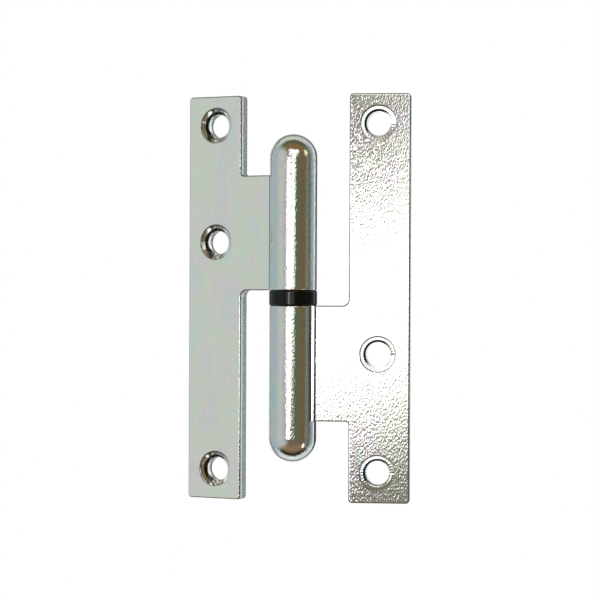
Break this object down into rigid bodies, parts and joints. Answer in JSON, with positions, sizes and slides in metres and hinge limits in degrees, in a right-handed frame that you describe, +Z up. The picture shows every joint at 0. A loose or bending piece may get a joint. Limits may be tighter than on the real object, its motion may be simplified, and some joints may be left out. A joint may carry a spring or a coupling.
{
  "type": "lift-off hinge",
  "caption": "Lift-off hinge of rolled steel: notched leaves with countersunk holes, domed knuckles, a pressed pin and a plastic ring, so that the upper leaf lifts off its pin.",
  "frame": {"origin": "middle of the lower leaf's two end screw holes, on its back face", "axes": "+Z up along the pin, +Y out of the lower leaf's back face, +X from the pin to the lower leaf"},
  "size_m": [0.0673, 0.0218, 0.12],
  "materials": {
    "zinc_plated_steel": "bright zinc plating with a faint iridescence over rolled steel",
    "bright_steel": "ground and lightly oiled",
    "black_nylon": "smooth moulded gloss"
  },
  "bodies": {
    "lower": {"lower_leaf": "zinc_plated_steel", "pin": "bright_steel"},
    "ring": {"bearing_ring": "black_nylon"},
    "upper": {"upper_leaf": "zinc_plated_steel"}
  },
  "joints": [
    {"name": "leaf_swing", "type": "hinge", "parent": "lower", "child": "ring", "pos_m": [-0.0252, -0.002, 0], "axis": [0, 0, 1], "range_deg": [-142, 186]},
    {"name": "lift_off", "type": "slide", "parent": "ring", "child": "upper", "axis": [0, 0, 1], "range_m": [0, 0.04]}
  ]
}
